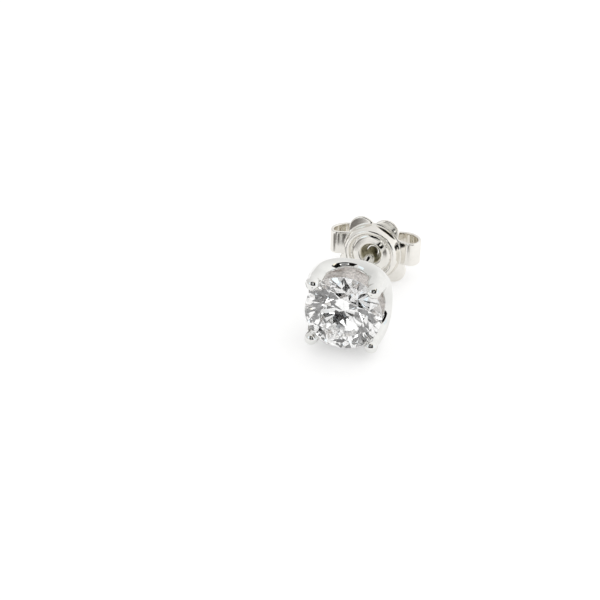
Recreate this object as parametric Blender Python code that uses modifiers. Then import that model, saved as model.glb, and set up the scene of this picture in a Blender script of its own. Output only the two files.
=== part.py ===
"""A four-prong diamond stud earring with its butterfly ear nut on the post.

Each piece is modelled on the stud's own axis: x to the right, z up, and y back along the post,
with the widest plane of the stone, its girdle, at y = 0. The whole stud is then laid down as it
rests by itself, on the lower side of its head and the lower lobes of its ear nut. Metres, +Z up.
"""
from math import cos, log2, pi, radians, sin, sqrt, tan

import bmesh
import bpy
from mathutils import Matrix, Vector

MM = 0.001

# Stone
STONE_DIAMETER = 5.8 * MM
TABLE_WIDTH = 3.3 * MM
GIRDLE_HEIGHT = 0.17 * MM
CROWN_ANGLE = radians(34.5)
PAVILION_ANGLE = radians(40.8)
STAR_REACH = 0.5
LOWER_HALF_REACH = 0.77
GIRDLE_SIDES = 32

# Head
SEAT_CLEARANCE = 0.03 * MM
BEAD_DIAMETER = 1.08 * MM
BEAD_OVERHANG = 0.32 * MM
BEAD_LIFT = 0.36 * MM
BEAD_TURN = radians(7)
HEAD_MARGIN = 0.35 * MM
BAND_WALL = 0.64 * MM
PRONG_WALL = 0.84 * MM
ARCH_DEPTH = 2.15 * MM
ARCH_CORNER_RADIUS = 0.70 * MM
PRONG_TIP_WIDTH = 0.94 * MM
PRONG_ROOT_WIDTH = 1.50 * MM
CULET_ROOM = 0.35 * MM
HEAD_FLOOR = 0.72 * MM

# Post
POST_DIAMETER = 0.90 * MM
POST_LENGTH = 10.2 * MM

# Ear nut
NUT_DISTANCE = 7.2 * MM
NUT_LEAN = radians(7)
NUT_SHEET = 0.28 * MM
NUT_HOLE_CLEARANCE = 0.04 * MM
FUNNEL_WIDTH = 1.86 * MM
FUNNEL_DEPTH = 0.85 * MM
FUNNEL_LIP = 0.12 * MM
DISH_WIDTH = 3.2 * MM
RING_CREST_WIDTH = 4.1 * MM
RING_WIDTH = 4.8 * MM
RING_HEIGHT = 0.32 * MM
PLATE_SETBACK = 0.62 * MM
PLATE_RIM = 0.05 * MM
LOBE_RADIUS = 1.15 * MM
UPPER_LOBE_SPREAD = 1.0 * MM
UPPER_LOBE_RISE = 1.74 * MM
LOWER_LOBE_SPREAD = 1.75 * MM
LOWER_LOBE_DROP = 1.33 * MM
STRIP_HEIGHT = 2.0 * MM
STRIP_RISE = 0.34 * MM
SCROLL_REACH = 3.85 * MM
SCROLL_DEPTH = 1.85 * MM
SCROLL_END_CLEARANCE = 0.2 * MM

# Fineness of the curved surfaces
HEAD_VALLEY_STEPS = 3
HEAD_CORNER_STEPS = 3
HEAD_SIDE_STEPS = 3
HEAD_TIP_STEPS = 2
TURNED_STEPS = 40
PLATE_STEPS = 88
STRIP_STEPS = 26

# Sizes that follow from the ones above
STONE_RADIUS = STONE_DIAMETER / 2
CROWN_HEIGHT = (STONE_RADIUS - TABLE_WIDTH / 2) * tan(CROWN_ANGLE)
PAVILION_HEIGHT = STONE_RADIUS * tan(PAVILION_ANGLE)
CULET_DEPTH = GIRDLE_HEIGHT / 2 + PAVILION_HEIGHT
HEAD_HALF_WIDTH = STONE_RADIUS + HEAD_MARGIN
BEAD_REACH = STONE_RADIUS + BEAD_OVERHANG
CORNER_REACH = BEAD_REACH + BEAD_DIAMETER / 2
CUP_DEPTH = CULET_DEPTH + CULET_ROOM
HEAD_DEPTH = CUP_DEPTH + HEAD_FLOOR
POST_RADIUS = POST_DIAMETER / 2
NUT_PLACE = HEAD_DEPTH + NUT_DISTANCE
HOLE_RADIUS = POST_RADIUS + NUT_HOLE_CLEARANCE

# The head's outer wall, front to back: depth as a share of the head's depth, then half the width
# across the flats and the reach at the corners as shares of the widest ones.
HEAD_SECTIONS = (
    (-0.20, 0.86, 0.950),
    (-0.10, 0.89, 0.962),
    (0.00, 0.93, 0.978),
    (0.08, 0.96, 0.988),
    (0.24, 0.99, 0.996),
    (0.48, 1.00, 1.000),
    (0.64, 1.00, 0.980),
    (0.76, 0.98, 0.920),
    (0.88, 0.89, 0.780),
    (0.96, 0.70, 0.600),
    (1.00, 0.47, 0.390),
)

# The lines that run down the head's walls from its rim: how deep their feet lie outside and inside
# as shares of the head's and the cup's depth, and how the feet are spread between two prongs.
OUTER_FOOT = 0.76
INNER_FOOT = 0.72
FOOT_SPREAD = 0.73
KNEE_SHARE = 0.55
OUTER_ROWS = (1.0, 0.84, 0.66, 0.46)
INNER_ROWS = (0.5, 0.75, 1.0)
BACK_ROWS = (1.0, 0.96, 0.88)
RIM_STEPS = 6

# The bowl inside the head: depth as a share of the cup's depth, and width as a share of the wall's.
BOWL_SECTIONS = (
    (0.86, 0.90),
    (0.95, 0.70),
    (0.99, 0.42),
)

# The right scroll seen from above: how far out as a share of its reach, and how far back from the
# lobed plate as a share of its depth.
SCROLL_ROUTE = (
    (0.51, 0.03),
    (0.70, -0.08),
    (0.85, -0.17),
    (0.95, -0.08),
    (1.00, 0.15),
    (1.00, 0.38),
    (0.94, 0.66),
    (0.81, 0.91),
    (0.65, 1.00),
    (0.49, 0.94),
    (0.34, 0.74),
)


def clear_scene():
    for item in list(bpy.data.objects):
        bpy.data.objects.remove(item, do_unlink=True)


def new_collection(name):
    collection = bpy.data.collections.new(name)
    bpy.context.scene.collection.children.link(collection)
    return collection


def metal(name, colour, roughness):
    material = bpy.data.materials.new(name)
    material.use_nodes = True
    shader = material.node_tree.nodes["Principled BSDF"]
    shader.inputs["Base Color"].default_value = (*colour, 1)
    shader.inputs["Metallic"].default_value = 1
    shader.inputs["Roughness"].default_value = roughness
    return material


def gem(name, colour, index):
    material = bpy.data.materials.new(name)
    material.use_nodes = True
    shader = material.node_tree.nodes["Principled BSDF"]
    shader.inputs["Base Color"].default_value = (*colour, 1)
    shader.inputs["Roughness"].default_value = 0
    shader.inputs["IOR"].default_value = index
    shader.inputs["Transmission Weight"].default_value = 1
    return material


def add_object(name, data, collection):
    item = bpy.data.objects.new(name, data)
    collection.objects.link(item)
    return item


def object_from_bmesh(name, bm, collection):
    mesh = bpy.data.meshes.new(name)
    bm.normal_update()
    bm.to_mesh(mesh)
    bm.free()
    return add_object(name, mesh, collection)


def hide_cutter(item):
    item.hide_render = True
    item.display_type = "WIRE"


def boolean(item, other, operation):
    """Join or cut with the exact solver; the other object is kept out of sight."""
    modifier = item.modifiers.new(f"{operation.lower()} {other.name}", "BOOLEAN")
    modifier.object = other
    modifier.operation = operation
    modifier.solver = "EXACT"
    hide_cutter(other)


def finish(item, material, sharp_angle):
    item.data.materials.clear()
    item.data.materials.append(material)
    item.data.shade_smooth()
    item.data.set_sharp_from_angle(angle=sharp_angle)


def smooth_value(rows, column, place):
    """Read one column of a table at any place along its first column, on a smooth curve."""
    places = [row[0] for row in rows]
    place = min(max(place, places[0]), places[-1])
    index = max(i for i in range(len(rows) - 1) if places[i] <= place or i == 0)
    before, after = max(index - 1, 0), min(index + 2, len(rows) - 1)
    span = places[index + 1] - places[index]
    start, end = rows[index][column], rows[index + 1][column]
    slope_in = (end - rows[before][column]) / (places[index + 1] - places[before]) * span
    slope_out = (rows[after][column] - start) / (places[after] - places[index]) * span
    t = (place - places[index]) / span
    return ((2 * t**3 - 3 * t**2 + 1) * start + (t**3 - 2 * t**2 + t) * slope_in
            + (3 * t**2 - 2 * t**3) * end + (t**3 - t**2) * slope_out)


def turned(name, profile, steps, collection):
    """A body turned about the y axis from (radius, y) pairs given front to back."""
    bm = bmesh.new()
    points = [bm.verts.new((radius, 0, -place)) for radius, place in profile]
    for first, second in zip(points, points[1:]):
        bm.edges.new((first, second))
    item = object_from_bmesh(name, bm, collection)
    screw = item.modifiers.new("turn", "SCREW")
    screw.axis = "Z"
    screw.angle = 2 * pi
    screw.steps = screw.render_steps = steps
    screw.use_merge_vertices = True
    screw.merge_threshold = 0.001 * MM
    return item


def as_mesh(item, collection):
    """Swap an object for a plain mesh of what its curve or modifiers make, laid along y."""
    graph = bpy.context.evaluated_depsgraph_get()
    graph.update()
    mesh = bpy.data.meshes.new_from_object(item.evaluated_get(graph))
    mesh.transform(item.matrix_world)
    bm = bmesh.new()
    bm.from_mesh(mesh)
    bmesh.ops.remove_doubles(bm, verts=bm.verts, dist=0.001 * MM)
    bmesh.ops.recalc_face_normals(bm, faces=bm.faces)
    bm.to_mesh(mesh)
    bm.free()
    name = item.name
    bpy.data.objects.remove(item, do_unlink=True)
    return add_object(name, mesh, collection)


def turned_mesh(name, profile, steps, collection):
    """The turned body as a mesh with its axis along y and its front towards -y."""
    item = turned(name, profile, steps, collection)
    item.rotation_euler = (pi / 2, 0, 0)
    bpy.context.view_layer.update()
    return as_mesh(item, collection)


# Stone


def facet(bm, points):
    """Cut the blank along the plane through three points and keep the side of the axis."""
    first, second, third = points
    normal = (second - first).cross(third - first).normalized()
    middle = Vector((0, 0, 0))
    if normal.dot(middle - first) > 0:
        normal.negate()
    cut = bmesh.ops.bisect_plane(bm, geom=bm.verts[:] + bm.edges[:] + bm.faces[:], dist=0.0001 * MM,
                                 plane_co=first, plane_no=normal, clear_outer=True)
    rim = [part for part in cut["geom_cut"] if isinstance(part, bmesh.types.BMEdge)]
    open_rim = [edge for edge in rim if edge.is_boundary]
    if open_rim:
        bmesh.ops.edgeloop_fill(bm, edges=open_rim)


def stone_point(radius, turn, depth):
    """A point at an eighth-turn count round the stone, at a depth behind the girdle plane."""
    angle = turn * pi / 4
    return Vector((radius * sin(angle), depth, radius * cos(angle)))


def make_stone(collection):
    """A round brilliant: a round blank cut by its facet planes, family by family."""
    half_girdle = GIRDLE_HEIGHT / 2
    table_radius = TABLE_WIDTH / 2
    half_turn = cos(pi / 8)
    table_depth = -half_girdle - CROWN_HEIGHT
    star_inner = table_radius * half_turn
    star_radius = star_inner + STAR_REACH * (STONE_RADIUS - star_inner)
    star_depth = table_depth + (star_radius * half_turn - table_radius) * tan(CROWN_ANGLE)
    lower_radius = STONE_RADIUS * (1 - LOWER_HALF_REACH)
    lower_depth = CULET_DEPTH - lower_radius * half_turn * tan(PAVILION_ANGLE)

    bm = bmesh.new()
    bmesh.ops.create_cone(bm, cap_ends=True, segments=GIRDLE_SIDES, radius1=STONE_RADIUS,
                          radius2=STONE_RADIUS, depth=2 * CULET_DEPTH)
    bmesh.ops.rotate(bm, verts=bm.verts, cent=(0, 0, 0), matrix=Matrix.Rotation(pi / 2, 3, "X"))
    facet(bm, [stone_point(table_radius, turn, table_depth) for turn in (0, 3, 6)])
    for turn in range(8):
        tip = stone_point(STONE_RADIUS, turn, -half_girdle)
        corner = stone_point(table_radius, turn, table_depth)
        facet(bm, [tip, corner, tip + Vector((cos(turn * pi / 4), 0, -sin(turn * pi / 4)))])
        low_tip = stone_point(STONE_RADIUS, turn, half_girdle)
        culet = Vector((0, CULET_DEPTH, 0))
        facet(bm, [low_tip, culet, low_tip + Vector((cos(turn * pi / 4), 0, -sin(turn * pi / 4)))])
    for turn in range(8):
        star = stone_point(star_radius, turn + 0.5, star_depth)
        facet(bm, [stone_point(table_radius, turn, table_depth), star,
                   stone_point(table_radius, turn + 1, table_depth)])
        lower = stone_point(lower_radius, turn + 0.5, lower_depth)
        for side in (0, 1):
            rim_turns = (turn + side, turn + 0.5)
            facet(bm, [star] + [stone_point(STONE_RADIUS, at, -half_girdle) for at in rim_turns])
            facet(bm, [lower] + [stone_point(STONE_RADIUS, at, half_girdle) for at in rim_turns])
    bmesh.ops.dissolve_degenerate(bm, edges=bm.edges, dist=0.0005 * MM)
    bmesh.ops.recalc_face_normals(bm, faces=bm.faces)
    stone = object_from_bmesh("stone", bm, collection)
    finish(stone, gem("diamond", (1, 1, 1), 2.417), radians(2))
    return stone


# Head


def outer_radius(angle, depth):
    """The head's outer wall: a rounded square whose corners are the prongs."""
    share = depth / HEAD_DEPTH
    flat = smooth_value(HEAD_SECTIONS, 1, share) * HEAD_HALF_WIDTH
    corner = smooth_value(HEAD_SECTIONS, 2, share) * CORNER_REACH
    power = 1 / (0.5 - log2(max(corner / flat, 0.8)))
    return flat / (abs(cos(angle)) ** power + abs(sin(angle)) ** power) ** (1 / power)


def wall(angle):
    """The wall is thin at the arches and thick at the prongs."""
    return BAND_WALL + (PRONG_WALL - BAND_WALL) * (1 - cos(4 * angle)) / 2


def rim_path(middle_radius):
    """Half of the rim between two prongs, from the arch's middle to a prong's tip.

    Each point is (distance round the wall, depth); the distance is measured at the middle radius.
    """
    corner_place = middle_radius * pi / 4
    half_window = corner_place - PRONG_ROOT_WIDTH / 2
    radius = ARCH_CORNER_RADIUS
    points = [(half_window - radius) * step / HEAD_VALLEY_STEPS for step in range(HEAD_VALLEY_STEPS)]
    path = [(place, ARCH_DEPTH) for place in points]
    for step in range(HEAD_CORNER_STEPS + 1):
        turn = pi / 2 * step / HEAD_CORNER_STEPS
        path.append((half_window - radius + radius * sin(turn), ARCH_DEPTH - radius + radius * cos(turn)))
    tip = PRONG_TIP_WIDTH / 2
    side_start, side_end = path[-1], (corner_place - tip, -BEAD_LIFT)
    for step in range(1, HEAD_SIDE_STEPS):
        share = step / HEAD_SIDE_STEPS
        path.append((side_start[0] + (side_end[0] - side_start[0]) * share**1.3,
                     side_start[1] + (side_end[1] - side_start[1]) * share))
    for step in range(HEAD_TIP_STEPS + 1):
        turn = pi / 2 * step / HEAD_TIP_STEPS
        path.append((corner_place - tip * cos(turn), -BEAD_LIFT - tip * sin(turn)))
    return path


def rim_columns():
    """All the way round: each column's rim point, its direction into the metal, and its foot."""
    middle_radius = (HEAD_HALF_WIDTH + CORNER_REACH - BAND_WALL) / 2
    half = rim_path(middle_radius)
    corner_place = middle_radius * pi / 4
    lengths = [0]
    for first, second in zip(half, half[1:]):
        lengths.append(lengths[-1] + sqrt((second[0] - first[0])**2 + (second[1] - first[1])**2))
    feet = [corner_place * (length / lengths[-1]) ** FOOT_SPREAD for length in lengths]
    inward = []
    for index in range(len(half)):
        before, after = half[max(index - 1, 0)], half[min(index + 1, len(half) - 1)]
        along = Vector((after[0] - before[0], after[1] - before[1])).normalized()
        inward.append(Vector((-along[1], along[0])))
    inward[0] = Vector((0, 1))
    inward[-1] = Vector((0, 1))
    columns = []
    for quarter in range(4):
        centre = quarter * pi / 2
        there = [(1, index) for index in range(len(half))]
        back = [(-1, index) for index in range(len(half) - 2, 0, -1)]
        for side, index in there + back:
            around = centre if side == 1 else centre + pi / 2
            columns.append((around, side, Vector(half[index]), inward[index], feet[index]))
    return columns, middle_radius


def wall_point(angle, radius, depth):
    return Vector((radius * sin(angle), depth, radius * cos(angle)))


def rim_rows(column, middle_radius):
    """One column of the head's surface, from the outer foot over the rim to the inner foot."""
    around, side, crest, inward, foot = column
    corner_place = middle_radius * pi / 4
    room = corner_place - crest[0]
    reach = min(KNEE_SHARE * (BAND_WALL + room * abs(inward[0])), BAND_WALL)
    knee = crest + inward * reach
    rows = {"outer": [], "rim": [], "inner": []}

    def at(share, foot_depth):
        end = Vector((foot, foot_depth))
        return crest * (1 - share)**2 + knee * (2 * share * (1 - share)) + end * share**2

    def angle_of(place):
        return around + side * place / middle_radius

    outer_foot = OUTER_FOOT * HEAD_DEPTH
    inner_foot = INNER_FOOT * CUP_DEPTH
    for share in OUTER_ROWS:
        place, depth = at(share, outer_foot)
        angle = angle_of(place)
        rows["outer"].append(wall_point(angle, outer_radius(angle, depth), depth))
    for step in range(RIM_STEPS + 1):
        turn = pi / 2 - step * pi / RIM_STEPS
        crest_angle = angle_of(crest[0])
        half_wall = wall(crest_angle) / 2
        share = min(half_wall * (1 - cos(turn)) / (2 * reach), 0.40)
        place, depth = at(share, outer_foot if turn >= 0 else inner_foot)
        angle = angle_of(place)
        half_wall = wall(angle) / 2
        radius = outer_radius(angle, depth) - half_wall + half_wall * sin(turn)
        rows["rim"].append(wall_point(angle, radius, depth))
    for share in INNER_ROWS:
        place, depth = at(share, inner_foot)
        angle = angle_of(place)
        rows["inner"].append(wall_point(angle, outer_radius(angle, depth) - wall(angle), depth))
    return rows


def make_cup(collection):
    """The cup and its prongs: a loft of columns that follow the arched rim."""
    columns, middle_radius = rim_columns()
    bm = bmesh.new()
    rings = []
    for column in columns:
        rows = rim_rows(column, middle_radius)
        around, side, foot = column[0], column[1], column[4]
        angle = around + side * foot / middle_radius
        back = []
        for share in BACK_ROWS:
            depth = share * HEAD_DEPTH
            back.append(wall_point(angle, outer_radius(angle, depth), depth))
        inner_wall = rows["inner"][-1]
        bowl = []
        for depth_share, width_share in BOWL_SECTIONS:
            bowl.append(Vector((inner_wall.x * width_share, depth_share * CUP_DEPTH,
                                inner_wall.z * width_share)))
        points = back + rows["outer"] + rows["rim"] + rows["inner"] + bowl
        rings.append([bm.verts.new(point) for point in points])
    back_middle = bm.verts.new((0, HEAD_DEPTH, 0))
    bowl_middle = bm.verts.new((0, CUP_DEPTH, 0))
    for left, right in zip(rings, rings[1:] + rings[:1]):
        for index in range(len(left) - 1):
            bm.faces.new((left[index], left[index + 1], right[index + 1], right[index]))
        bm.faces.new((back_middle, left[0], right[0]))
        bm.faces.new((bowl_middle, right[-1], left[-1]))
    bmesh.ops.recalc_face_normals(bm, faces=bm.faces)
    return object_from_bmesh("setting", bm, collection)


def make_post(collection):
    """The post starts inside the head's floor and ends in a dome."""
    start = HEAD_DEPTH - HEAD_FLOOR / 2
    end = HEAD_DEPTH + POST_LENGTH
    dome = 4
    profile = [(0, start), (POST_RADIUS, start)]
    for step in range(dome + 1):
        turn = pi / 2 * step / dome
        profile.append((POST_RADIUS * cos(turn), end - POST_RADIUS + POST_RADIUS * sin(turn)))
    profile[-1] = (0, end)
    return turned_mesh("post", profile, 24, collection)


def make_bead(name, corner, collection):
    """A round bead at a prong's tip, over the edge of the stone."""
    bm = bmesh.new()
    bmesh.ops.create_uvsphere(bm, u_segments=16, v_segments=10, radius=BEAD_DIAMETER / 2)
    angle = pi / 4 + corner * pi / 2
    turn = Matrix.Rotation(BEAD_TURN, 4, "X") @ Matrix.Rotation(BEAD_TURN, 4, "Y")
    bmesh.ops.transform(bm, verts=bm.verts, matrix=turn)
    bmesh.ops.translate(bm, verts=bm.verts, vec=wall_point(angle, BEAD_REACH, -BEAD_LIFT))
    return object_from_bmesh(name, bm, collection)


def make_seat(collection):
    """The room cut for the stone in the prongs: the stone's outline and a small clearance."""
    reach = STONE_RADIUS + SEAT_CLEARANCE
    half = GIRDLE_HEIGHT / 2 + SEAT_CLEARANCE
    front = half + reach * tan(CROWN_ANGLE) * 0.5
    profile = [(0, -front), (reach * 0.5, -front), (reach, -half), (reach, half),
               (reach * 0.5, half + reach * 0.5 * tan(PAVILION_ANGLE)),
               (0, half + reach * tan(PAVILION_ANGLE))]
    return turned_mesh("seat", profile, 64, collection)


def make_setting(collection, cutters, material):
    setting = make_cup(collection)
    boolean(setting, make_post(cutters), "UNION")
    for corner in range(4):
        boolean(setting, make_bead(f"bead {corner + 1}", corner, cutters), "UNION")
    boolean(setting, make_seat(cutters), "DIFFERENCE")
    finish(setting, material, radians(40))
    return setting


# Ear nut


def nut_profile():
    """The stamped disc cut through, as (radius, depth) pairs: out along its front, back behind."""
    mouth = FUNNEL_WIDTH / 2
    dish = DISH_WIDTH / 2
    crest = RING_CREST_WIDTH / 2
    edge = RING_WIDTH / 2
    groove_depth = 0.3 * RING_HEIGHT
    edge_depth = PLATE_SETBACK + NUT_SHEET / 2
    throat = []
    for share in (0.35, 0.65, 0.88):
        radius = HOLE_RADIUS + (mouth - FUNNEL_LIP - HOLE_RADIUS) * share
        throat.append((radius, FUNNEL_DEPTH * (1 - share) ** 0.7))
    front = [(HOLE_RADIUS, FUNNEL_DEPTH)] + throat
    front += [(mouth, 0), (mouth + FUNNEL_LIP, 0), (dish - FUNNEL_LIP, 0),
              (dish + FUNNEL_LIP / 2, groove_depth)]
    steps = 5
    turns = [pi / 2 * step / steps for step in range(steps + 1)]
    inner_ring = crest - dish - FUNNEL_LIP
    for turn in turns:
        front.append((crest - inner_ring * cos(turn),
                      groove_depth - (RING_HEIGHT + groove_depth) * sin(turn)))
    for turn in turns[1:]:
        front.append((crest + (edge - crest) * sin(turn),
                      edge_depth - (edge_depth + RING_HEIGHT) * cos(turn)))
    back = [(edge - NUT_SHEET, edge_depth), (edge - NUT_SHEET, NUT_SHEET / 2)]
    back += [(crest, NUT_SHEET - RING_HEIGHT), (dish + FUNNEL_LIP, groove_depth + NUT_SHEET)]
    back += [(mouth + 2 * FUNNEL_LIP, NUT_SHEET)]
    back += [(radius + 0.9 * NUT_SHEET, depth + 0.4 * NUT_SHEET) for radius, depth in throat[::-1]]
    back += [(HOLE_RADIUS + NUT_SHEET, FUNNEL_DEPTH)]
    return front + back


def make_disc(collection):
    """The stamped disc, turned about the post's axis."""
    profile = nut_profile()
    return turned_mesh("ear_nut", profile + profile[:1], TURNED_STEPS, collection)


def far_side(centre, radius, angle):
    """How far a ray from the nut's middle runs before it leaves a circle, or nothing if it misses."""
    along = centre.x * cos(angle) + centre.y * sin(angle)
    beside = centre.length_squared - along**2
    if along < 0 or beside > radius**2:
        return 0
    return along + sqrt(radius**2 - beside)


def lobe_outline():
    """The plate behind the disc, seen from the front: a rim round the disc, and four lobes."""
    lobes = [Vector((side * UPPER_LOBE_SPREAD, UPPER_LOBE_RISE)) for side in (-1, 1)]
    lobes += [Vector((side * LOWER_LOBE_SPREAD, -LOWER_LOBE_DROP)) for side in (-1, 1)]
    points = []
    for step in range(PLATE_STEPS):
        angle = 2 * pi * (step + 0.5) / PLATE_STEPS
        reach = max([RING_WIDTH / 2 + PLATE_RIM] + [far_side(lobe, LOBE_RADIUS, angle) for lobe in lobes])
        points.append(Vector((reach * cos(angle), reach * sin(angle))))
    return points


def circle(radius, steps):
    turns = [2 * pi * step / steps for step in range(steps)]
    return [Vector((radius * cos(turn), radius * sin(turn))) for turn in turns]


def make_plate(collection):
    """The lobed plate, a flat outline with a hole in it for the disc, with rounded edges."""
    curve = bpy.data.curves.new("plate", "CURVE")
    curve.dimensions = "2D"
    curve.fill_mode = "BOTH"
    curve.extrude = NUT_SHEET / 2
    hole = circle(RING_WIDTH / 2 - NUT_SHEET / 2, TURNED_STEPS)
    for outline in (lobe_outline(), hole):
        spline = curve.splines.new("POLY")
        spline.points.add(len(outline) - 1)
        for point, place in zip(spline.points, outline):
            point.co = (place.x, place.y, 0, 1)
        spline.use_cyclic_u = True
    plate = add_object("plate", curve, collection)
    plate.rotation_euler = (pi / 2, 0, 0)
    plate.location = (0, PLATE_SETBACK + NUT_SHEET / 2, 0)
    bpy.context.view_layer.update()
    return as_mesh(plate, collection)


def scroll_route():
    """The middle line of the right-hand strip seen from above, read off a smooth curve."""
    plate_depth = PLATE_SETBACK + NUT_SHEET / 2
    places = [(out * (SCROLL_REACH - NUT_SHEET / 2), plate_depth + back * SCROLL_DEPTH)
              for out, back in SCROLL_ROUTE]
    places.append((POST_RADIUS + SCROLL_END_CLEARANCE + NUT_SHEET, plate_depth + 0.4 * SCROLL_DEPTH))
    rows = [(index, out, depth) for index, (out, depth) in enumerate(places)]
    points = []
    for step in range(STRIP_STEPS + 1):
        at = (len(rows) - 1) * step / STRIP_STEPS
        points.append(Vector((smooth_value(rows, 1, at), smooth_value(rows, 2, at))))
    return points


def make_strips(collection):
    """Both side strips: a ribbon along the scroll's route, given the sheet's thickness and mirrored."""
    bm = bmesh.new()
    rows = []
    for point in scroll_route():
        pair = [bm.verts.new((point.x, point.y, STRIP_RISE + edge * STRIP_HEIGHT / 2)) for edge in (-1, 1)]
        rows.append(pair)
    for first, second in zip(rows, rows[1:]):
        bm.faces.new((first[0], second[0], second[1], first[1]))
    strip = object_from_bmesh("strips", bm, collection)
    sheet = strip.modifiers.new("sheet", "SOLIDIFY")
    sheet.thickness = NUT_SHEET
    sheet.offset = 0
    sheet.use_even_offset = True
    edges = strip.modifiers.new("rounded edges", "BEVEL")
    edges.width = NUT_SHEET * 0.3
    edges.segments = 2
    edges.limit_method = "ANGLE"
    edges.angle_limit = radians(60)
    strip.modifiers.new("other side", "MIRROR")
    return as_mesh(strip, collection)


def make_ear_nut(collection, cutters, material):
    """The ear nut in one piece, its origin on the post's axis at the narrow end of the funnel."""
    nut = make_disc(collection)
    additions = [make_plate(cutters), make_strips(cutters)]
    for item in [nut] + additions:
        item.data.transform(Matrix.Translation((0, -FUNNEL_DEPTH, 0)))
    for item in additions:
        item.parent = nut
        boolean(nut, item, "UNION")
    finish(nut, material, radians(40))
    return nut


# Laying the stud down


def own_points(item):
    graph = bpy.context.evaluated_depsgraph_get()
    graph.update()
    mesh = item.evaluated_get(graph).data
    return [item.matrix_world @ vertex.co for vertex in mesh.vertices]


def lowest(points, tilt):
    return min(point.z * cos(tilt) - point.y * sin(tilt) for point in points)


def resting_tilt(head, nut):
    """The angle at which the head and the ear nut both touch the surface."""
    low, high = radians(-20), radians(20)
    for _ in range(40):
        middle = (low + high) / 2
        if lowest(head, middle) < lowest(nut, middle):
            low = middle
        else:
            high = middle
    return (low + high) / 2


def lay_down(axis, pieces, tilt):
    """Tip the axis, then set the lowest point at z = 0 with the stud centred over the origin."""
    axis.rotation_euler = (-tilt, 0, 0)
    bpy.context.view_layer.update()
    points = [point for piece in pieces for point in own_points(piece)]
    across = [point.x for point in points]
    along = [point.y for point in points]
    axis.location = (-(min(across) + max(across)) / 2, -(min(along) + max(along)) / 2,
                     -min(point.z for point in points))


def build():
    clear_scene()
    earring = new_collection("stud_earring")
    cutters = new_collection("cutters")
    white_gold = metal("white gold", (0.90, 0.89, 0.87), 0.06)
    nut_gold = metal("white gold of the ear nut", (0.86, 0.83, 0.79), 0.14)

    stone = make_stone(earring)
    setting = make_setting(earring, cutters, white_gold)
    ear_nut = make_ear_nut(earring, cutters, nut_gold)

    axis = add_object("stud_axis", None, earring)
    for item in [stone, setting, ear_nut] + list(cutters.objects):
        if item.parent is None:
            item.parent = axis
    ear_nut.location = (0, NUT_PLACE + FUNNEL_DEPTH, 0)
    ear_nut.rotation_euler = (0, 0, -NUT_LEAN)
    bpy.context.view_layer.update()
    tilt = resting_tilt(own_points(setting), own_points(ear_nut))
    lay_down(axis, (stone, setting, ear_nut), tilt)
    bpy.context.view_layer.update()


build()
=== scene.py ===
# %% [markdown]
# # A diamond stud earring on a white table
#
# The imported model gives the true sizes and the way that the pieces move. It is loaded first and is
# never changed. Each of its three plain solids then gets a finer piece that stands in its place: the
# cut stone, the polished head with its post, and the stamped ear nut. Metals and diamond show little
# colour of their own, so the last cells build the white tent that they reflect.

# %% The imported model
from math import cos, log2, pi, radians, sin, sqrt, tan

import bmesh
import bpy
from mathutils import Matrix, Vector


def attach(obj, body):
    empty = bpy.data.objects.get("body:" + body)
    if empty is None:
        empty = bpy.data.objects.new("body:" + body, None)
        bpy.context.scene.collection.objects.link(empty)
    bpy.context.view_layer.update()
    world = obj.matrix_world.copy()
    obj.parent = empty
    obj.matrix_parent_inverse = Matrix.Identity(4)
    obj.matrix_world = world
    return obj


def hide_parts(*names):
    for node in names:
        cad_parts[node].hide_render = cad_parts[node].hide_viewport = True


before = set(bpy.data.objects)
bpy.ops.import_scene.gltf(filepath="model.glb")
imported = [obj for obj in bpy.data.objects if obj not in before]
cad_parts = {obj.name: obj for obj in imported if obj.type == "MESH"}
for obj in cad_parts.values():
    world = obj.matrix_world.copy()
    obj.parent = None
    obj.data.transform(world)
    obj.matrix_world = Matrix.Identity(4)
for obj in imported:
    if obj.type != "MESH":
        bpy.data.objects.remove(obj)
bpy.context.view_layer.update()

# %% [markdown]
# A stud is too small for many of the tools' smallest settings. So the bench works with one Blender
# unit to the millimetre, on the stud's own axis: x to the right, z up, and y back along the post, with
# the widest plane of the stone at y = 0. A finished piece is scaled down, tipped back as the stud lies
# and moved to its place, and all that is then applied, so its object stays at the origin.

# %% Bench and place
STUD_PLACE = Vector((-0.0000485, -0.0064313, 0.0034304))
STUD_TILT = radians(4.595)
MILLIMETRE = 0.001
ON_STUD = (Matrix.Translation(STUD_PLACE) @ Matrix.Rotation(-STUD_TILT, 4, "X")
           @ Matrix.Scale(MILLIMETRE, 4))


def take(piece):
    """Select one object alone and make it the active one."""
    bpy.ops.object.select_all(action="DESELECT")
    piece.select_set(True)
    bpy.context.view_layer.objects.active = piece


def edit(piece):
    """Open one object in edit mode with all of it selected."""
    take(piece)
    bpy.ops.object.mode_set(mode="EDIT")
    bpy.ops.mesh.select_all(action="SELECT")


def leave():
    bpy.ops.object.mode_set(mode="OBJECT")


def named(name):
    """Name the object that an operator has just made."""
    piece = bpy.context.object
    piece.name = piece.data.name = name
    return piece


def apply_all(piece):
    """Apply every modifier of a piece, in their order."""
    take(piece)
    for modifier in list(piece.modifiers):
        bpy.ops.object.modifier_apply(modifier=modifier.name)


def combine(piece, other, operation):
    """Join another object to a piece, or cut it out, and put the other object away."""
    modifier = piece.modifiers.new(operation.lower(), "BOOLEAN")
    modifier.object = other
    modifier.operation = operation
    modifier.solver = "EXACT"
    apply_all(piece)
    bpy.data.objects.remove(other, do_unlink=True)


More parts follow.
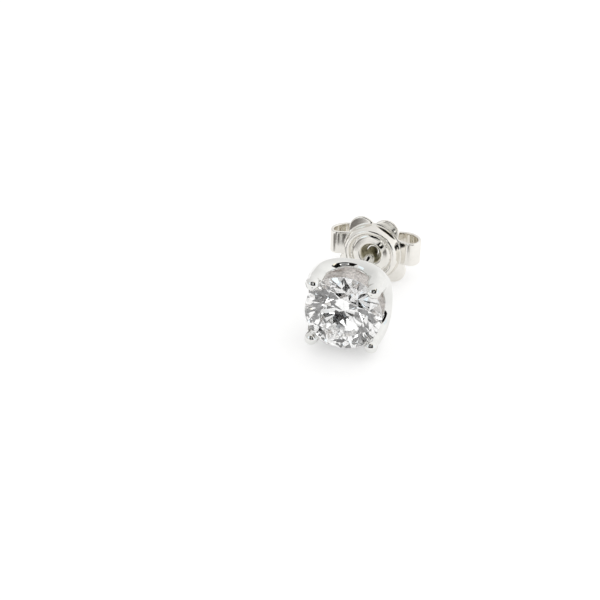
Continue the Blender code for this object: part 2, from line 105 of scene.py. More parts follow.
def settle(piece, matrix, smooth_angle):
    """Move a finished piece from the bench to its place, and shade its edges up to an angle."""
    take(piece)
    piece.matrix_world = matrix @ piece.matrix_world
    bpy.ops.object.transform_apply(location=True, rotation=True, scale=True)
    bpy.ops.object.shade_smooth_by_angle(angle=smooth_angle)
    triangles = sum(len(face.vertices) - 2 for face in piece.data.polygons)
    print(piece.name, "has", triangles, "triangles")
    print("its box in mm is", [round(side / MILLIMETRE, 2) for side in piece.dimensions])


print("one bench unit back along the post is", list(ON_STUD.to_3x3() @ Vector((0, 1, 0))))

# %% [markdown]
# ## The stone
# A round brilliant is cut from a round blank, one flat facet after another, by holding it against a
# turning lap. Bisect is the same move: it cuts a mesh along a plane and closes the cut. Each family of
# facets has one slope and goes round the stone eight times. Facets must stay flat, so only the fine
# steps of the round girdle are shaded smooth.

# %% Sizes of the stone
STONE_RADIUS = 2.9
TABLE_RADIUS = 1.65
HALF_GIRDLE = 0.085
CROWN_SLOPE = tan(radians(34.5))
PAVILION_SLOPE = tan(radians(40.8))
STAR_REACH = 0.5
LOWER_HALF_REACH = 0.77
GIRDLE_STEPS = 128
GIRDLE_SMOOTH_ANGLE = radians(3.5)
FACET_MERGE = 0.0005
CUT_REACH = 0.00001
EIGHTH = pi / 4
TABLE_DEPTH = -HALF_GIRDLE - (STONE_RADIUS - TABLE_RADIUS) * CROWN_SLOPE
CULET_DEPTH = HALF_GIRDLE + STONE_RADIUS * PAVILION_SLOPE
print("stone height", round(CULET_DEPTH - TABLE_DEPTH, 3), "mm")


def round_point(radius, turn, depth):
    """A point at a count of eighth turns round the axis and at a depth behind the girdle."""
    return Vector((radius * sin(turn * EIGHTH), depth, radius * cos(turn * EIGHTH)))


def cut_facet(points):
    """Cut the open mesh along the plane through three points, and keep the axis's side."""
    normal = (points[1] - points[0]).cross(points[2] - points[0]).normalized()
    if normal.dot(points[0]) < 0:
        normal.negate()
    bpy.ops.mesh.select_all(action="SELECT")
    bpy.ops.mesh.bisect(plane_co=points[0], plane_no=normal, use_fill=True, clear_outer=True,
                        threshold=CUT_REACH)


# %% Cutting the stone
bpy.ops.object.select_all(action="DESELECT")
bpy.ops.mesh.primitive_cylinder_add(vertices=GIRDLE_STEPS, radius=STONE_RADIUS, depth=2 * CULET_DEPTH,
                                    rotation=(pi / 2, 0, 0))
stone = named("round_diamond")
bpy.ops.object.transform_apply(rotation=True)
edit(stone)
cut_facet([round_point(TABLE_RADIUS, turn, TABLE_DEPTH) for turn in (0, 3, 6)])
for turn in range(8):
    along = Vector((cos(turn * EIGHTH), 0, -sin(turn * EIGHTH)))
    high_tip = round_point(STONE_RADIUS, turn, -HALF_GIRDLE)
    low_tip = round_point(STONE_RADIUS, turn, HALF_GIRDLE)
    cut_facet([high_tip, round_point(TABLE_RADIUS, turn, TABLE_DEPTH), high_tip + along])
    cut_facet([low_tip, Vector((0, CULET_DEPTH, 0)), low_tip + along])
star_inner = TABLE_RADIUS * cos(EIGHTH / 2)
star_radius = star_inner + STAR_REACH * (STONE_RADIUS - star_inner)
star_depth = TABLE_DEPTH + (star_radius * cos(EIGHTH / 2) - TABLE_RADIUS) * CROWN_SLOPE
lower_radius = STONE_RADIUS * (1 - LOWER_HALF_REACH)
lower_depth = CULET_DEPTH - lower_radius * cos(EIGHTH / 2) * PAVILION_SLOPE
for turn in range(8):
    star = round_point(star_radius, turn + 0.5, star_depth)
    lower = round_point(lower_radius, turn + 0.5, lower_depth)
    cut_facet([round_point(TABLE_RADIUS, turn, TABLE_DEPTH), star,
               round_point(TABLE_RADIUS, turn + 1, TABLE_DEPTH)])
    for side in (0, 1):
        rim = (turn + side, turn + 0.5)
        cut_facet([star] + [round_point(STONE_RADIUS, at, -HALF_GIRDLE) for at in rim])
        cut_facet([lower] + [round_point(STONE_RADIUS, at, HALF_GIRDLE) for at in rim])
bpy.ops.mesh.select_all(action="SELECT")
bpy.ops.mesh.remove_doubles(threshold=FACET_MERGE)
bpy.ops.mesh.normals_make_consistent(inside=False)
leave()
settle(stone, ON_STUD, GIRDLE_SMOOTH_ANGLE)

# %% [markdown]
# ## The head
# The head is cast: a rounded square cup whose rim dips in an arch on each side and rises to a prong
# at each corner. It could be carved from a cube with round cutters, but the polished metal shows
# every seam that a cutter leaves. So a flat grid is laid over the rim instead, as a goldsmith folds
# sheet: its columns follow the arched rim, its rows run down the outside, roll over the rim and go
# down the inside. Subdivision then gives one surface that reflects cleanly.

# %% Sizes of the head
HEAD_HALF_WIDTH = 3.25
HEAD_DEPTH = 3.658
CUP_DEPTH = 2.938
BEAD_RADIUS = 0.54
BEAD_REACH = 3.22
BEAD_LIFT = 0.36
TIP_RADIUS = 0.46
TIP_BULGE = 0.10
TIP_BLEND = 1.5 * TIP_RADIUS
CORNER_REACH = BEAD_REACH + BEAD_RADIUS
BAND_WALL = 0.64
PRONG_WALL = 0.84
ARCH_DEPTH = 2.15
ARCH_RISE = 0.25
ARCH_CORNER_RADIUS = 0.70
PRONG_ROOT_WIDTH = 1.50
PRONG_NECK_WIDTH = 0.94
MIDDLE_RADIUS = (HEAD_HALF_WIDTH + CORNER_REACH - BAND_WALL) / 2
CORNER_PLACE = MIDDLE_RADIUS * pi / 4

# Front to back: share of the head's depth, then the half width over the flats and the reach at the
# corners, as shares of the widest ones.
HEAD_SECTIONS = (
    (-0.20, 0.86, 0.950),
    (-0.10, 0.89, 0.962),
    (0.00, 0.93, 0.978),
    (0.08, 0.96, 0.988),
    (0.24, 0.99, 0.996),
    (0.48, 1.00, 1.000),
    (0.64, 1.00, 0.980),
    (0.76, 0.98, 0.920),
    (0.88, 0.89, 0.780),
    (0.96, 0.70, 0.600),
    (1.00, 0.47, 0.390),
)


def smooth_value(rows, column, place):
    """Read one column of a table at any place along its first column, on a smooth curve."""
    places = [row[0] for row in rows]
    place = min(max(place, places[0]), places[-1])
    index = max(i for i in range(len(rows) - 1) if places[i] <= place or i == 0)
    before, after = max(index - 1, 0), min(index + 2, len(rows) - 1)
    span = places[index + 1] - places[index]
    start, end = rows[index][column], rows[index + 1][column]
    slope_in = (end - rows[before][column]) / (places[index + 1] - places[before]) * span
    slope_out = (rows[after][column] - start) / (places[after] - places[index]) * span
    t = (place - places[index]) / span
    return ((2 * t**3 - 3 * t**2 + 1) * start + (t**3 - 2 * t**2 + t) * slope_in
            + (3 * t**2 - 2 * t**3) * end + (t**3 - t**2) * slope_out)


def tip_share(angle, depth):
    """One in the middle of a prong's tip, falling smoothly to nothing round it."""
    across = (angle % (pi / 2) - pi / 4) * BEAD_REACH
    along = depth + BEAD_LIFT
    return max(0, 1 - (across**2 + along**2) / TIP_BLEND**2)


def outer_radius(angle, depth):
    """The head's outer wall: a rounded square whose corners are the prongs."""
    share = depth / HEAD_DEPTH
    flat = smooth_value(HEAD_SECTIONS, 1, share) * HEAD_HALF_WIDTH
    corner = smooth_value(HEAD_SECTIONS, 2, share) * CORNER_REACH
    power = 1 / (0.5 - log2(corner / flat))
    square = flat / (abs(cos(angle)) ** power + abs(sin(angle)) ** power) ** (1 / power)
    return square + TIP_BULGE * tip_share(angle, depth)


def wall(angle, depth):
    """The wall is thin at the arches, thicker at the prongs and thickest at their tips."""
    plain = BAND_WALL + (PRONG_WALL - BAND_WALL) * (1 - cos(4 * angle)) / 2
    return plain + (2 * TIP_RADIUS - plain) * tip_share(angle, depth)


print("head", 2 * HEAD_HALF_WIDTH, "mm over the flats,", round(2 * CORNER_REACH, 2), "mm over the corners")

# %% [markdown]
# The rim is drawn first, on the flat: distance round the wall against depth. It bows up a little along
# the bottom of the arch, turns up in a round corner, climbs the prong's side and ends round its tip.

# %% The arched rim
ARCH_STEPS = 4
CORNER_STEPS = 5
SIDE_STEPS = 6
TIP_TURNS = [radians(turn) for turn in (0, 18, 36, 54, 72, 90)]
NECK_DEPTH = 0.1 - BEAD_LIFT
SIDE_SWEEP = 1.3
FOOT_SWEEP = 0.73


def rim_line():
    """Half of the rim from an arch's middle to a prong's tip, as (distance round, depth)."""
    half_arch = CORNER_PLACE - PRONG_ROOT_WIDTH / 2
    level = half_arch - ARCH_CORNER_RADIUS
    line = []
    for step in range(ARCH_STEPS):
        share = step / ARCH_STEPS
        line.append((level * share, ARCH_DEPTH - ARCH_RISE * share**2))
    corner_depth = ARCH_DEPTH - ARCH_RISE * (1 + 2 * ARCH_CORNER_RADIUS / level)
    start, corner, end = (Vector((level, ARCH_DEPTH - ARCH_RISE)), Vector((half_arch, corner_depth)),
                          Vector((half_arch, corner_depth - ARCH_CORNER_RADIUS)))
    for step in range(CORNER_STEPS + 1):
        share = step / CORNER_STEPS
        line.append(tuple(start * (1 - share)**2 + corner * (2 * share * (1 - share)) + end * share**2))
    foot = line[-1]
    neck = (CORNER_PLACE - PRONG_NECK_WIDTH / 2, NECK_DEPTH)
    for step in range(1, SIDE_STEPS + 1):
        share = step / (SIDE_STEPS + 1)
        line.append((foot[0] + (neck[0] - foot[0]) * share**SIDE_SWEEP,
                     foot[1] + (neck[1] - foot[1]) * share))
    for turn in TIP_TURNS:
        line.append((CORNER_PLACE - TIP_RADIUS * cos(turn), -BEAD_LIFT - TIP_RADIUS * sin(turn)))
    return line


def rim_columns():
    """Every column round the head: its quarter's angle, its side, its rim point, the way into the
    metal there, and where it ends at the foot of the wall."""
    line = rim_line()
    lengths = [0]
    for first, second in zip(line, line[1:]):
        lengths.append(lengths[-1] + sqrt((second[0] - first[0])**2 + (second[1] - first[1])**2))
    columns = []
    for quarter in range(4):
        there = [(1, index) for index in range(len(line))]
        back = [(-1, index) for index in range(len(line) - 2, 0, -1)]
        for side, index in there + back:
            before, after = line[max(index - 1, 0)], line[min(index + 1, len(line) - 1)]
            way = Vector((before[1] - after[1], after[0] - before[0])).normalized()
            if index in (0, len(line) - 1):
                way = Vector((0, 1))
            foot = CORNER_PLACE * (lengths[index] / lengths[-1])**FOOT_SWEEP
            start = (quarter + (side < 0)) * pi / 2
            columns.append((start, side, Vector(line[index]), way, foot))
    return columns


columns = rim_columns()
print("columns round the head", len(columns))

# %% [markdown]
# Each column is then a line of points from the middle of the back, up the outside, over the rim in a
# curve as wide as the wall, and down to the middle of the bowl. At the arches most of that curve lies
# outside, which makes the band broad; at the tips it is an even half circle. On its way to its foot
# a column bends at a knee, which lies square to the rim, so that neighbours never cross.

# %% One column of the head
OUTER_FOOT = 0.76 * HEAD_DEPTH
INNER_FOOT = 0.72 * CUP_DEPTH
LOWEST_FOOT = 0.83 * CUP_DEPTH
LEAST_INNER_DROP = 0.3
KNEE_SHARE = 0.55
BACK_SHARES = (1.0, 0.96, 0.88, 0.82)
OUTSIDE_SHARES = (1.0, 0.91, 0.82, 0.73, 0.64)
INSIDE_SHARES = (0.55, 0.7, 0.85, 1.0)
BOWL_SHARES = ((0.86, 0.90), (0.95, 0.70), (0.99, 0.42))
RIM_TURNS = [pi / 2 - step * pi / 8 for step in range(9)]
ARCH_OUTSIDE_SHARE = 0.76
TIP_OUTSIDE_SHARE = 0.5
ROLL_LIMIT = 0.40
ARCH_ROLL_OUT = 0.15
ARCH_ROLL_IN = 0.10


def on_wall(angle, radius, depth):
    """A point of the head at an angle round the stud, a distance from its axis and a depth."""
    return Vector((radius * sin(angle), depth, radius * cos(angle)))


def column_points(column):
    """One column from the middle of the back to the middle of the bowl."""
    start, side, crest, way, foot = column
    room = CORNER_PLACE - crest[0]
    reach = min(KNEE_SHARE * (BAND_WALL + room * abs(way[0])), BAND_WALL)
    inner_depth = min(max(INNER_FOOT, crest[1] + LEAST_INNER_DROP), LOWEST_FOOT)
    inner_reach = min(reach, (inner_depth - crest[1]) / 2)

    def place_at(share, outside):
        """The angle and depth at a share of the way from the rim to the column's foot."""
        knee = crest + way * (reach if outside else inner_reach)
        place = crest * (1 - share)**2 + knee * (2 * share * (1 - share))
        place += Vector((foot, OUTER_FOOT if outside else inner_depth)) * share**2
        return start + side * place[0] / MIDDLE_RADIUS, place[1]

    foot_angle = start + side * foot / MIDDLE_RADIUS
    points = []
    for share in BACK_SHARES:
        depth = share * HEAD_DEPTH
        points.append(on_wall(foot_angle, outer_radius(foot_angle, depth), depth))
    for share in OUTSIDE_SHARES:
        angle, depth = place_at(share, True)
        points.append(on_wall(angle, outer_radius(angle, depth), depth))
    crest_angle, crest_depth = place_at(0, True)
    crest_wall = wall(crest_angle, crest_depth)
    tip = tip_share(crest_angle, crest_depth)
    outside = ARCH_OUTSIDE_SHARE + (TIP_OUTSIDE_SHARE - ARCH_OUTSIDE_SHARE) * tip
    for turn in RIM_TURNS:
        width = outside if turn >= 0 else 1 - outside
        limit = ROLL_LIMIT + (ARCH_ROLL_OUT if turn >= 0 else -ARCH_ROLL_IN) * (1 - tip)
        share = min(crest_wall * width * (1 - cos(turn)) / (2 * reach), limit)
        angle, depth = place_at(share, turn >= 0)
        thick = wall(angle, depth)
        middle = outer_radius(angle, depth) - outside * thick
        points.append(on_wall(angle, middle + width * thick * sin(turn), depth))
    for share in INSIDE_SHARES:
        angle, depth = place_at(share, False)
        points.append(on_wall(angle, outer_radius(angle, depth) - wall(angle, depth), depth))
    inner_foot = points[-1]
    for depth_share, width_share in BOWL_SHARES:
        points.append(Vector((inner_foot.x * width_share, depth_share * CUP_DEPTH,
                              inner_foot.z * width_share)))
    return points


# %% [markdown]
# The grid primitive has a point for every row of every column, and each point is moved to its place.
# Subdivision rounds the faces. Then each tip is swelled to a ball, as To Sphere does, but only where it
# lies within the bead, so that the bead meets its prong in a crisp neck. The two round holes that are
# left, in the middle of the back and of the bowl, are filled and their faces poked into triangles.

# %% Laying the grid over the rim
BEAD_CORE = 0.96 * BEAD_RADIUS
BEAD_CRISPNESS = 8
GRID_MERGE = 0.0001
rows = [column_points(column) for column in columns]
row_count = len(rows[0])
bpy.ops.object.select_all(action="DESELECT")
bpy.ops.mesh.primitive_grid_add(x_subdivisions=len(rows), y_subdivisions=row_count - 1, size=1)
head = named("head_and_post")
for index, vertex in enumerate(head.data.vertices):
    row, column = divmod(index, len(rows) + 1)
    vertex.co = rows[column % len(rows)][row]
edit(head)
bpy.ops.mesh.remove_doubles(threshold=GRID_MERGE)
leave()
finer = head.modifiers.new("finer", "SUBSURF")
finer.levels = finer.render_levels = 1
apply_all(head)
middles = [on_wall(pi / 4 + quarter * pi / 2, BEAD_REACH, -BEAD_LIFT) for quarter in range(4)]
for vertex in head.data.vertices:
    middle = min(middles, key=lambda place: (vertex.co - place).length)
    arm = vertex.co - middle
    swelled = (arm.length**BEAD_CRISPNESS + BEAD_CORE**BEAD_CRISPNESS)**(1 / BEAD_CRISPNESS)
    vertex.co = middle + arm * swelled / arm.length
edit(head)
bpy.ops.mesh.select_all(action="DESELECT")
bpy.ops.mesh.select_non_manifold()
bpy.ops.mesh.fill_holes(sides=0)
bpy.ops.mesh.select_all(action="DESELECT")
bpy.ops.mesh.select_face_by_sides(number=4, type="GREATER")
bpy.ops.mesh.poke()
bpy.ops.mesh.select_all(action="SELECT")
bpy.ops.mesh.normals_make_consistent(inside=False)
leave()
print("head grid", len(rows), "columns by", row_count, "rows,", len(head.data.polygons), "faces")

# %% [markdown]
# ## The post
# The post is drawn wire, cut square, with a rounded tip, and soldered to the middle of the back. A
# cylinder is enough: a bevel rounds its tip, and the solder's small round fillet is a few rings that
# are cut round its foot and widened. It starts inside the head's back and is joined to it, as solder
# does.

# %% The post and its solder
POST_RADIUS = 0.45
POST_LENGTH = 10.2
POST_ROOT = 0.36
POST_START = HEAD_DEPTH - POST_ROOT
POST_END = HEAD_DEPTH + POST_LENGTH
POST_STEPS = 64
TIP_ROUNDING = 0.98 * POST_RADIUS
TIP_ROUNDING_STEPS = 10
SOLDER_FILLET = 0.14
SOLDER_STEPS = 5
SAME_DEPTH = 0.001


def select_ring(piece, depth):
    """Select the open mesh's points at one depth, and nothing else."""
    mesh = bmesh.from_edit_mesh(piece.data)
    for vertex in mesh.verts:
        vertex.select_set(abs(vertex.co.y - depth) < SAME_DEPTH)
    mesh.select_flush_mode()
    bmesh.update_edit_mesh(piece.data)


bpy.ops.object.select_all(action="DESELECT")
bpy.ops.mesh.primitive_cylinder_add(vertices=POST_STEPS, radius=POST_RADIUS,
                                    depth=POST_END - POST_START,
                                    location=(0, (POST_START + POST_END) / 2, 0),
                                    rotation=(pi / 2, 0, 0))
post = named("post")
bpy.ops.object.transform_apply(location=True, rotation=True)
edit(post)
bpy.ops.mesh.select_all(action="DESELECT")
select_ring(post, POST_END)
bpy.ops.mesh.bevel(offset=TIP_ROUNDING, segments=TIP_ROUNDING_STEPS, affect="EDGES", clamp_overlap=True)
rises = [SOLDER_FILLET * step / SOLDER_STEPS for step in range(SOLDER_STEPS + 1)]
for rise in rises:
    bpy.ops.mesh.select_all(action="SELECT")
    bpy.ops.mesh.bisect(plane_co=(0, HEAD_DEPTH + rise, 0), plane_no=(0, 1, 0))
for rise in rises:
    widen = 1 + (SOLDER_FILLET - sqrt(SOLDER_FILLET**2 - (SOLDER_FILLET - rise)**2)) / POST_RADIUS
    bpy.ops.mesh.select_all(action="DESELECT")
    select_ring(post, HEAD_DEPTH + rise)
    bpy.ops.transform.resize(value=(widen, 1, widen), center_override=(0, 0, 0))
leave()
combine(head, post, "UNION")
print("head with post, faces", len(head.data.polygons))

# %% [markdown]
# A setter burrs a seat in the prongs, the shape of the stone's edge, and pushes their beads over it.
# The same cut here leaves a hair of clearance round the girdle, so metal and stone never share space.
# The burr is a circle of points moved to its section and spun about the stud's axis.

# %% The stone's seat
SEAT_CLEARANCE = 0.03
SEAT_SHARE = 0.5
SEAT_CORE = 0.001
SEAT_STEPS = 128
SPIN_MERGE = 0.00002
HEAD_SMOOTH_ANGLE = radians(32)


def spun(name, section, steps):
    """A turned solid: a ring of points placed on its section, (radius, depth), then spun."""
    bpy.ops.object.select_all(action="DESELECT")
    bpy.ops.mesh.primitive_circle_add(vertices=len(section), radius=1)
    piece = named(name)
    for vertex, place in zip(piece.data.vertices, section):
        vertex.co = (place[0], place[1], 0)
    edit(piece)
    bpy.ops.mesh.spin(steps=steps, angle=2 * pi, center=(0, 0, 0), axis=(0, 1, 0), use_auto_merge=True)
    bpy.ops.mesh.select_all(action="SELECT")
    bpy.ops.mesh.remove_doubles(threshold=SPIN_MERGE)
    bpy.ops.mesh.normals_make_consistent(inside=False)
    leave()
    return piece


seat_reach = STONE_RADIUS + SEAT_CLEARANCE
seat_half = HALF_GIRDLE + SEAT_CLEARANCE
front_depth = -seat_half - SEAT_SHARE * seat_reach * CROWN_SLOPE
seat_section = [
    (SEAT_CORE, front_depth),
    (SEAT_SHARE * seat_reach, front_depth),
    (seat_reach, -seat_half),
    (seat_reach, seat_half),
    (SEAT_SHARE * seat_reach, seat_half + SEAT_SHARE * seat_reach * PAVILION_SLOPE),
    (SEAT_CORE, seat_half + seat_reach * PAVILION_SLOPE),
]
seat = spun("seat", seat_section, SEAT_STEPS)
combine(head, seat, "DIFFERENCE")
settle(head, ON_STUD, HEAD_SMOOTH_ANGLE)

# %% [markdown]
# ## The ear nut
# A butterfly nut is stamped from one sheet: a dished disc with a raised ring and a funnel for the
# post, four round lobes, and two long tongues that are curled into springs. The disc is spun from its
# section. The lobed plate is a ring of points on its outline, bridged to a hole. Each spring is an
# edge extruded along its route. All are then fused into one skin, which rounds their joints as
# stamping does.

# %% Sizes of the ear nut
NUT_SHEET = 0.28
NUT_LEAN = radians(7)
FUNNEL_RADIUS = 0.93
FUNNEL_DEPTH = 0.85
FUNNEL_LIP = 0.12
HOLE_TIGHTNESS = 0.01
HOLE_RADIUS = POST_RADIUS - HOLE_TIGHTNESS
DISH_RADIUS = 1.6
CREST_RADIUS = 2.05
RING_RADIUS = 2.4
RING_HEIGHT = 0.32
PLATE_SETBACK = 0.62
PLATE_RIM = 0.05
PLATE_DEPTH = PLATE_SETBACK + NUT_SHEET / 2
LOBE_RADIUS = 1.15
LOBES = ((1.0, 1.74), (-1.0, 1.74), (-1.75, -1.33), (1.75, -1.33))
NUT_DISTANCE = 7.2
NUT_PLACE = HEAD_DEPTH + NUT_DISTANCE
ON_NUT = (ON_STUD @ Matrix.Translation((0, NUT_PLACE + FUNNEL_DEPTH, 0))
          @ Matrix.Rotation(-NUT_LEAN, 4, "Z") @ Matrix.Translation((0, -FUNNEL_DEPTH, 0)))
print("nut stands", NUT_DISTANCE, "mm behind the head")

# %% [markdown]
# The section of the disc runs out along the front, from the hole over the funnel's lip, the flat
# dish and the round ring, and comes back behind it one sheet's thickness away. Its hole is drawn a
# hair tighter than the post, because the fusing and smoothing at the end open it.

# %% The disc
RING_STEPS = 8
DISC_STEPS = 144
GROOVE_DEPTH = 0.3 * RING_HEIGHT
GROOVE_SHOULDER = 0.4 * GROOVE_DEPTH
LIP_DROP = 0.05
LIP_SHOULDER = 0.24 * LIP_DROP
THROAT_SHARES = (0.2, 0.38, 0.55, 0.72, 0.88)
THROAT_CURVE = 0.7
THROAT_WALL_OUT = 0.9 * NUT_SHEET
THROAT_WALL_BACK = 0.4 * NUT_SHEET
throat = []
for share in THROAT_SHARES:
    radius = HOLE_RADIUS + (FUNNEL_RADIUS - FUNNEL_LIP - HOLE_RADIUS) * share
    throat.append((radius, FUNNEL_DEPTH * (1 - share)**THROAT_CURVE))
disc_section = [(HOLE_RADIUS, FUNNEL_DEPTH)] + throat
disc_section += [
    (FUNNEL_RADIUS - FUNNEL_LIP / 2, LIP_DROP),
    (FUNNEL_RADIUS, LIP_SHOULDER),
    (FUNNEL_RADIUS + FUNNEL_LIP, 0),
    (DISH_RADIUS - FUNNEL_LIP, 0),
    (DISH_RADIUS - FUNNEL_LIP / 3, GROOVE_SHOULDER),
    (DISH_RADIUS + FUNNEL_LIP / 2, GROOVE_DEPTH),
]
inner_reach = CREST_RADIUS - DISH_RADIUS - FUNNEL_LIP
turns = [pi / 2 * step / RING_STEPS for step in range(RING_STEPS + 1)]
for turn in turns:
    disc_section.append((CREST_RADIUS - inner_reach * cos(turn),
                         GROOVE_DEPTH - (RING_HEIGHT + GROOVE_DEPTH) * sin(turn)))
for turn in turns[1:]:
    disc_section.append((CREST_RADIUS + (RING_RADIUS - CREST_RADIUS) * sin(turn),
                         PLATE_DEPTH - (PLATE_DEPTH + RING_HEIGHT) * cos(turn)))
disc_section += [
    (RING_RADIUS - NUT_SHEET, PLATE_DEPTH),
    (RING_RADIUS - NUT_SHEET, NUT_SHEET / 2),
    (CREST_RADIUS, NUT_SHEET - RING_HEIGHT),
    (DISH_RADIUS + FUNNEL_LIP, GROOVE_DEPTH + NUT_SHEET),
    (FUNNEL_RADIUS + 2 * FUNNEL_LIP, NUT_SHEET),
]
disc_section += [(radius + THROAT_WALL_OUT, depth + THROAT_WALL_BACK) for radius, depth in throat[::-1]]
disc_section += [(HOLE_RADIUS + NUT_SHEET, FUNNEL_DEPTH)]
disc = spun("disc", disc_section, DISC_STEPS)
print("disc section", len(disc_section), "points, faces", len(disc.data.polygons))

# %% [markdown]
# Seen from the front, the plate reaches as far as the farthest lobe in each direction, and nowhere
# less than a narrow rim round the disc. So a circle is doubled, the outer copy is bridged to the inner
# one, and each of its points is then moved out or in to the edge of the sheet.

# %% The lobed plate
OUTLINE_STEPS = 240
FIRST_WIDENING = 1.5


def far_side(lobe, angle):
    """How far a ray from the nut's middle runs before it leaves a lobe, or nothing if it misses."""
    along = lobe[0] * cos(angle) + lobe[1] * sin(angle)
    beside = lobe[0]**2 + lobe[1]**2 - along**2
    if along < 0 or beside > LOBE_RADIUS**2:
        return 0
    return along + sqrt(LOBE_RADIUS**2 - beside)


bpy.ops.object.select_all(action="DESELECT")
bpy.ops.mesh.primitive_circle_add(vertices=OUTLINE_STEPS, radius=RING_RADIUS - NUT_SHEET / 2,
                                  location=(0, PLATE_DEPTH, 0), rotation=(pi / 2, 0, 0))
plate = named("plate")
bpy.ops.object.transform_apply(location=True, rotation=True)
edit(plate)
bpy.ops.mesh.duplicate()
bpy.ops.transform.resize(value=(FIRST_WIDENING, 1, FIRST_WIDENING), center_override=(0, 0, 0))
bpy.ops.mesh.select_all(action="SELECT")
bpy.ops.mesh.bridge_edge_loops()
leave()
for vertex in plate.data.vertices:
    reach = sqrt(vertex.co.x**2 + vertex.co.z**2)
    if reach > RING_RADIUS:
        angle = Vector((1, 0)).angle_signed(Vector((vertex.co.x, -vertex.co.z)))
        edge = max([RING_RADIUS + PLATE_RIM] + [far_side(lobe, angle) for lobe in LOBES])
        vertex.co.x *= edge / reach
        vertex.co.z *= edge / reach
sheet = plate.modifiers.new("sheet", "SOLIDIFY")
sheet.thickness = NUT_SHEET
sheet.offset = 0
apply_all(plate)
print("plate box mm", [round(side, 2) for side in plate.dimensions])

# %% [markdown]
# The route of the right spring, seen from above, is a list of points that a smooth curve runs
# through: out from behind the ring, round, and back in towards the post. One upright edge is extruded
# along it. Solidify gives the strip the sheet's thickness, Bevel rounds its edges and Mirror makes the
# left one.

# %% The springs
SPRING_HEIGHT = 2.0
SPRING_RISE = 0.34
SPRING_REACH = 3.85 - NUT_SHEET / 2
SPRING_DEPTH = 1.85
SPRING_STEPS = 72
SPRING_EDGE = 0.3 * NUT_SHEET
SPRING_EDGE_STEPS = 3
SPRING_EDGE_ANGLE = radians(60)
# How far out and how far back, as shares of the spring's reach and depth.
SPRING_ROUTE = (
    (0.51, 0.03),
    (0.70, -0.08),
    (0.85, -0.17),
    (0.95, -0.08),
    (1.00, 0.15),
    (1.00, 0.38),
    (0.94, 0.66),
    (0.81, 0.91),
    (0.65, 1.00),
    (0.49, 0.94),
    (0.34, 0.74),
    (0.251, 0.40),
)
route_rows = [(index, out * SPRING_REACH, PLATE_DEPTH + back * SPRING_DEPTH)
              for index, (out, back) in enumerate(SPRING_ROUTE)]
route = []
for step in range(SPRING_STEPS + 1):
    at = (len(route_rows) - 1) * step / SPRING_STEPS
    route.append(Vector((smooth_value(route_rows, 1, at), smooth_value(route_rows, 2, at), SPRING_RISE)))
bpy.ops.object.select_all(action="DESELECT")
bpy.ops.mesh.primitive_plane_add(size=SPRING_HEIGHT, location=route[0], rotation=(0, pi / 2, 0))
springs = named("springs")
bpy.ops.object.transform_apply(location=True, rotation=True)
edit(springs)
bpy.ops.mesh.delete(type="ONLY_FACE")
mesh = bmesh.from_edit_mesh(springs.data)
bmesh.ops.delete(mesh, geom=[v for v in mesh.verts if v.co.y < route[0].y], context="VERTS")
for vertex in mesh.verts:
    vertex.co.y = route[0].y
bmesh.update_edit_mesh(springs.data)
bpy.ops.mesh.select_all(action="SELECT")
for before, after in zip(route, route[1:]):
    bpy.ops.mesh.extrude_region_move(TRANSFORM_OT_translate={"value": after - before})
leave()
sheet = springs.modifiers.new("sheet", "SOLIDIFY")
sheet.thickness = NUT_SHEET
sheet.offset = 0
sheet.use_even_offset = True
soft_edges = springs.modifiers.new("soft edges", "BEVEL")
soft_edges.width = SPRING_EDGE
soft_edges.segments = SPRING_EDGE_STEPS
soft_edges.limit_method = "ANGLE"
soft_edges.angle_limit = SPRING_EDGE_ANGLE
springs.modifiers.new("left one", "MIRROR")
apply_all(springs)
print("springs box mm", [round(side, 2) for side in springs.dimensions])

# %% [markdown]
# Remesh fuses the four overlapping bodies into one closed skin. Its small steps are smaller than the
# smoothing that follows, so the metal stays clean.

# %% One piece of sheet
FUSE_STEP = 0.045
RELAX_SHARE = 0.5
RELAX_ROUNDS = 18
NUT_SMOOTH_ANGLE = radians(60)
take(disc)
for part in (plate, springs):
    part.select_set(True)
bpy.ops.object.join()
nut = named("butterfly_nut")
fuse = nut.modifiers.new("fuse", "REMESH")
fuse.mode = "VOXEL"
fuse.voxel_size = FUSE_STEP
relax = nut.modifiers.new("relax", "SMOOTH")
relax.factor = RELAX_SHARE
relax.iterations = RELAX_ROUNDS
apply_all(nut)
settle(nut, ON_NUT, NUT_SMOOTH_ANGLE)

# %% [markdown]
# ## Finishes
# Polished white gold is nearly a mirror: a pale metal whose gloss changes a little from place to place.
# Its textures are read on the bench, in millimetres from the stud's axis, so that a finish can be put
# exactly where it belongs, such as the dull skin that casting leaves inside the cup.

# %% Reading places on the bench
NOISE_LOW, NOISE_HIGH = 0.3, 0.7


def add_node(tree, kind, **values):
    """A node with the values of its inputs set by name."""
    node = tree.nodes.new(kind)
    for socket, value in values.items():
        node.inputs[socket.replace("_", " ")].default_value = value
    return node


def bench_place(tree, matrix):
    """The place on the bench in millimetres, worked back from the finished piece's coordinates."""
    place = tree.nodes.new("ShaderNodeTexCoord")
    back = matrix.inverted()
    bench = add_node(tree, "ShaderNodeMapping", Location=back.to_translation(), Rotation=back.to_euler(),
                     Scale=back.to_scale())
    tree.links.new(place.outputs["Object"], bench.inputs["Vector"])
    return bench.outputs["Vector"]


def combined(tree, operation, first, second):
    """Two values put together by one sum; the second may be a plain number."""
    node = tree.nodes.new("ShaderNodeMath")
    node.operation = operation
    tree.links.new(first, node.inputs[0])
    if isinstance(second, (int, float)):
        node.inputs[1].default_value = second
    else:
        tree.links.new(second, node.inputs[1])
    return node.outputs["Value"]


